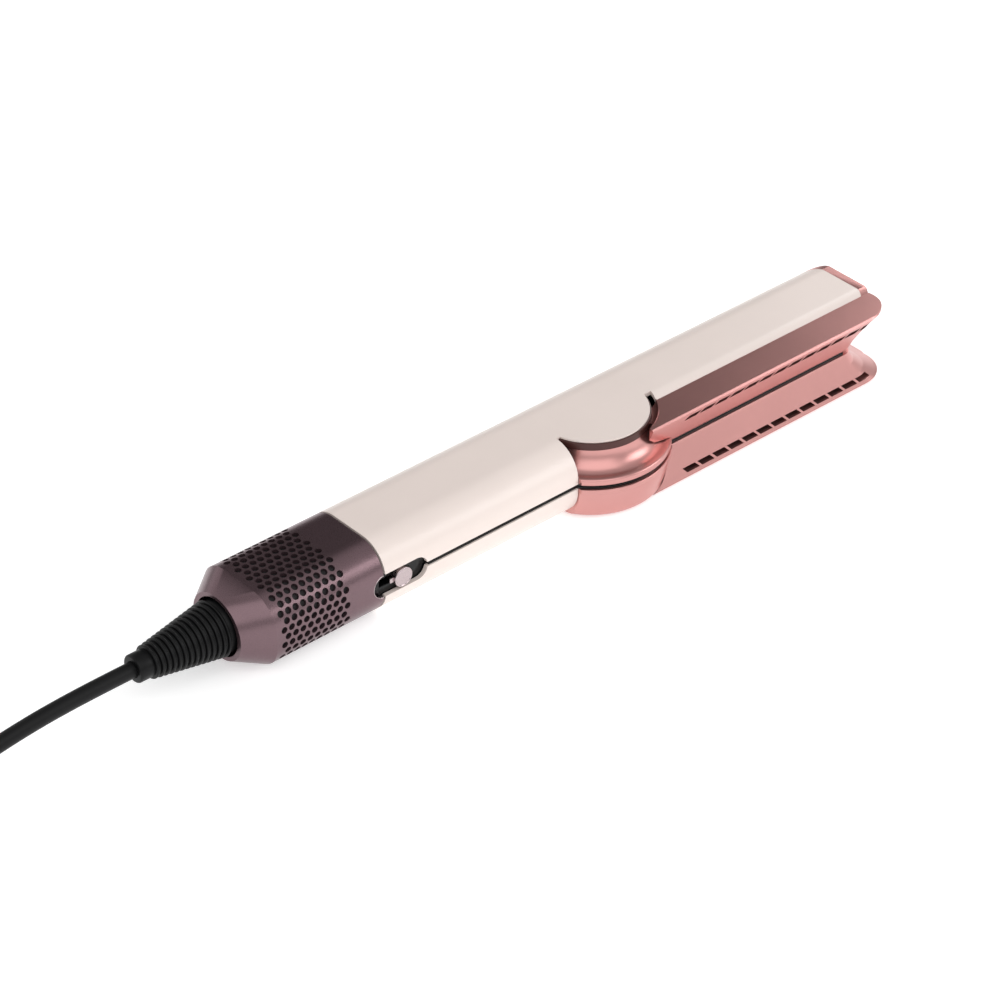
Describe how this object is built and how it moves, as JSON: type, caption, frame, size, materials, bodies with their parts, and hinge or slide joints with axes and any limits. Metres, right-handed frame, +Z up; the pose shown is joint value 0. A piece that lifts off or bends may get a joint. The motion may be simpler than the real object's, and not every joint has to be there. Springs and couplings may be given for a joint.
{
  "type": "air-blowing hair straightener",
  "caption": "Hair straightener that blows air: two hinged arms with slotted outlets, a round shoulder drum, a perforated intake cage and a cord folded in a tied hank.",
  "frame": {"origin": "on the surface that the tool lies on, under the middle of its box, measured without the cord, hank, tie and plug", "axes": "+X along the tool towards the tip, +Z up with the tool lying flat, slotted side of the arms towards -Y"},
  "size_m": [0.6449, 0.0714, 0.0304],
  "materials": {
    "cream_shell": "satin moulded shell, warm cream",
    "rose_metal": "satin metallic rose paint",
    "plum_metal": "anodised plum grey, perforated",
    "dark_trim": "dark brown gloss edge",
    "black_plastic": "matt black moulding",
    "black_rubber": "soft black rubber",
    "cord_rubber": "black cord jacket",
    "tie_strap": "black hook and loop strap",
    "knob_metal": "turned, with a polished edge",
    "bright_steel": "bright steel",
    "light_alloy": "cast light alloy",
    "dark_nylon": "glass filled nylon",
    "copper_winding": "enamelled copper winding",
    "magnet": "nickel grey magnet",
    "circuit_board": "green circuit board",
    "heater_ceramic": "mica and ribbon heater",
    "filter_mesh": "fine dark filter mesh",
    "display_glass": "dark window",
    "rose_button": "satin rose button",
    "dark_button": "satin dark button"
  },
  "bodies": {
    "base": {"chassis": "dark_nylon", "chassis_ring": "dark_nylon", "rear_bulkhead": "dark_nylon", "motor_housing": "light_alloy", "motor_grommets": "black_rubber", "motor_stator": "copper_winding", "front_bearing": "bright_steel", "rear_bearing": "bright_steel", "driver_board": "circuit_board", "hinge_pins": "bright_steel", "arm_springs": "bright_steel", "lock_bezel": "black_plastic", "chassis_screws": "bright_steel", "cord_boot": "black_rubber", "cord_clamp": "dark_nylon", "power_cord": "cord_rubber", "cord_tail": "cord_rubber", "cord_hank": "cord_rubber", "cord_tie": "tie_strap", "plug_body": "black_rubber", "plug_pins": "bright_steel"},
    "cage": {"intake_cage": "plum_metal", "filter_sleeve": "filter_mesh"},
    "rotor": {"impeller": "light_alloy", "motor_shaft": "bright_steel", "motor_magnet": "magnet"},
    "lock": {"lock_slider": "knob_metal", "lock_knob": "knob_metal"},
    "upper_arm": {"upper_shell": "cream_shell", "upper_wing": "rose_metal", "upper_drum": "rose_metal", "upper_trim": "dark_trim", "upper_hinge": "light_alloy", "upper_liner": "black_plastic", "upper_heater": "heater_ceramic", "upper_baffle": "black_plastic"},
    "lower_arm": {"lower_shell": "cream_shell", "lower_wing": "rose_metal", "lower_drum": "rose_metal", "lower_hinge": "light_alloy", "lower_liner": "black_plastic", "lower_heater": "heater_ceramic", "lower_baffle": "black_plastic", "control_board": "circuit_board", "display_window": "display_glass"},
    "power_button": {"power_button": "rose_button"},
    "heat_button": {"heat_button": "dark_button"},
    "airflow_button": {"airflow_button": "dark_button"}
  },
  "joints": [
    {"name": "upper_arm_hinge", "type": "hinge", "parent": "base", "child": "upper_arm", "pos_m": [-0.0757, 0.00595, 0.0242], "axis": [0, -1, 0], "range_deg": [0, 5.5]},
    {"name": "lower_arm_hinge", "type": "hinge", "parent": "base", "child": "lower_arm", "pos_m": [-0.0757, 0.00595, 0.0062], "axis": [0, 1, 0], "range_deg": [0, 5.5]},
    {"name": "cage_slide", "type": "slide", "parent": "base", "child": "cage", "axis": [-1, 0, 0], "range_m": [0, 0.045]},
    {"name": "lock_slide", "type": "slide", "parent": "base", "child": "lock", "axis": [-1, 0, 0], "range_m": [0, 0.007]},
    {"name": "rotor_spin", "type": "hinge", "parent": "base", "child": "rotor", "pos_m": [-0.1097, 0.00595, 0.0152], "axis": [1, 0, 0], "continuous": true},
    {"name": "power_button_press", "type": "slide", "parent": "lower_arm", "child": "power_button", "axis": [0, 0, 1], "range_m": [0, 0.0006], "stiffness_N_per_m": 400},
    {"name": "heat_button_press", "type": "slide", "parent": "lower_arm", "child": "heat_button", "axis": [0, 0, 1], "range_m": [0, 0.0006], "stiffness_N_per_m": 400},
    {"name": "airflow_button_press", "type": "slide", "parent": "lower_arm", "child": "airflow_button", "axis": [0, 0, 1], "range_m": [0, 0.0006], "stiffness_N_per_m": 400}
  ],
  "couplings": [
    {"joint": "lower_arm_hinge", "follows": "upper_arm_hinge", "ratio": 1}
  ]
}
